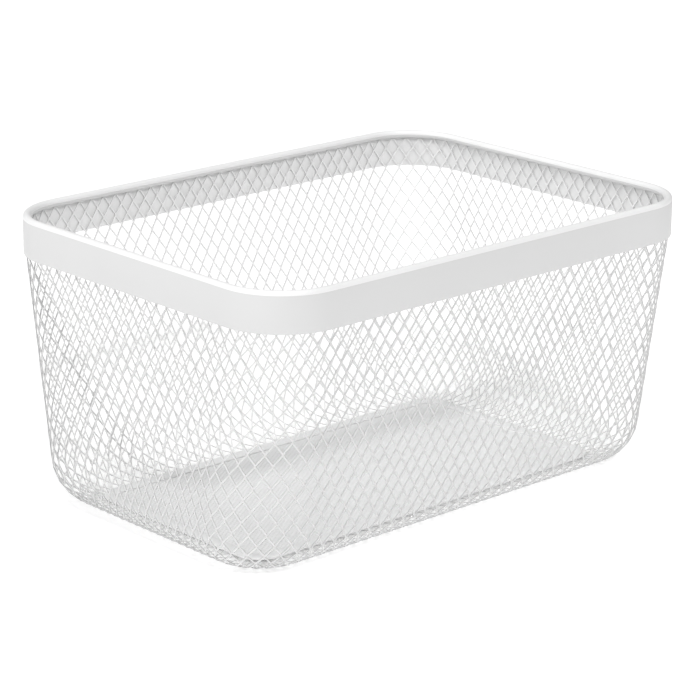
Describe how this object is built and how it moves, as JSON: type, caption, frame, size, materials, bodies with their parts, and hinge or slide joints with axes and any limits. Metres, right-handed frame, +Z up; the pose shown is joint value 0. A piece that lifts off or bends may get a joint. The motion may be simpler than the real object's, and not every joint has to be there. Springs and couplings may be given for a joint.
{
  "type": "expanded metal storage basket",
  "caption": "Open rectangular storage basket of white expanded steel mesh, with a flat rolled rim band, rounded corners, tapered walls and a flat finely pierced base.",
  "frame": {"origin": "on the ground, under the middle of the basket", "axes": "+Z up, +X along the long side, +Y across the short side"},
  "size_m": [0.33, 0.243, 0.17],
  "materials": {
    "rim_coat": "satin white powder coat on steel strip",
    "mesh_coat": "satin white powder coat on expanded steel",
    "base_coat": "satin white powder coat on finely pierced steel sheet",
    "ring_coat": "satin white powder coat on steel strip",
    "hoop_steel": "plain drawn steel wire, hidden inside the rolled lip"
  },
  "bodies": {
    "root": {"rim_band": "rim_coat", "rim_wire": "hoop_steel", "side_mesh": "mesh_coat", "base_top_ring": "ring_coat", "base_sheet_panel": "base_coat", "base_under_ring": "ring_coat"}
  },
  "joints": []
}
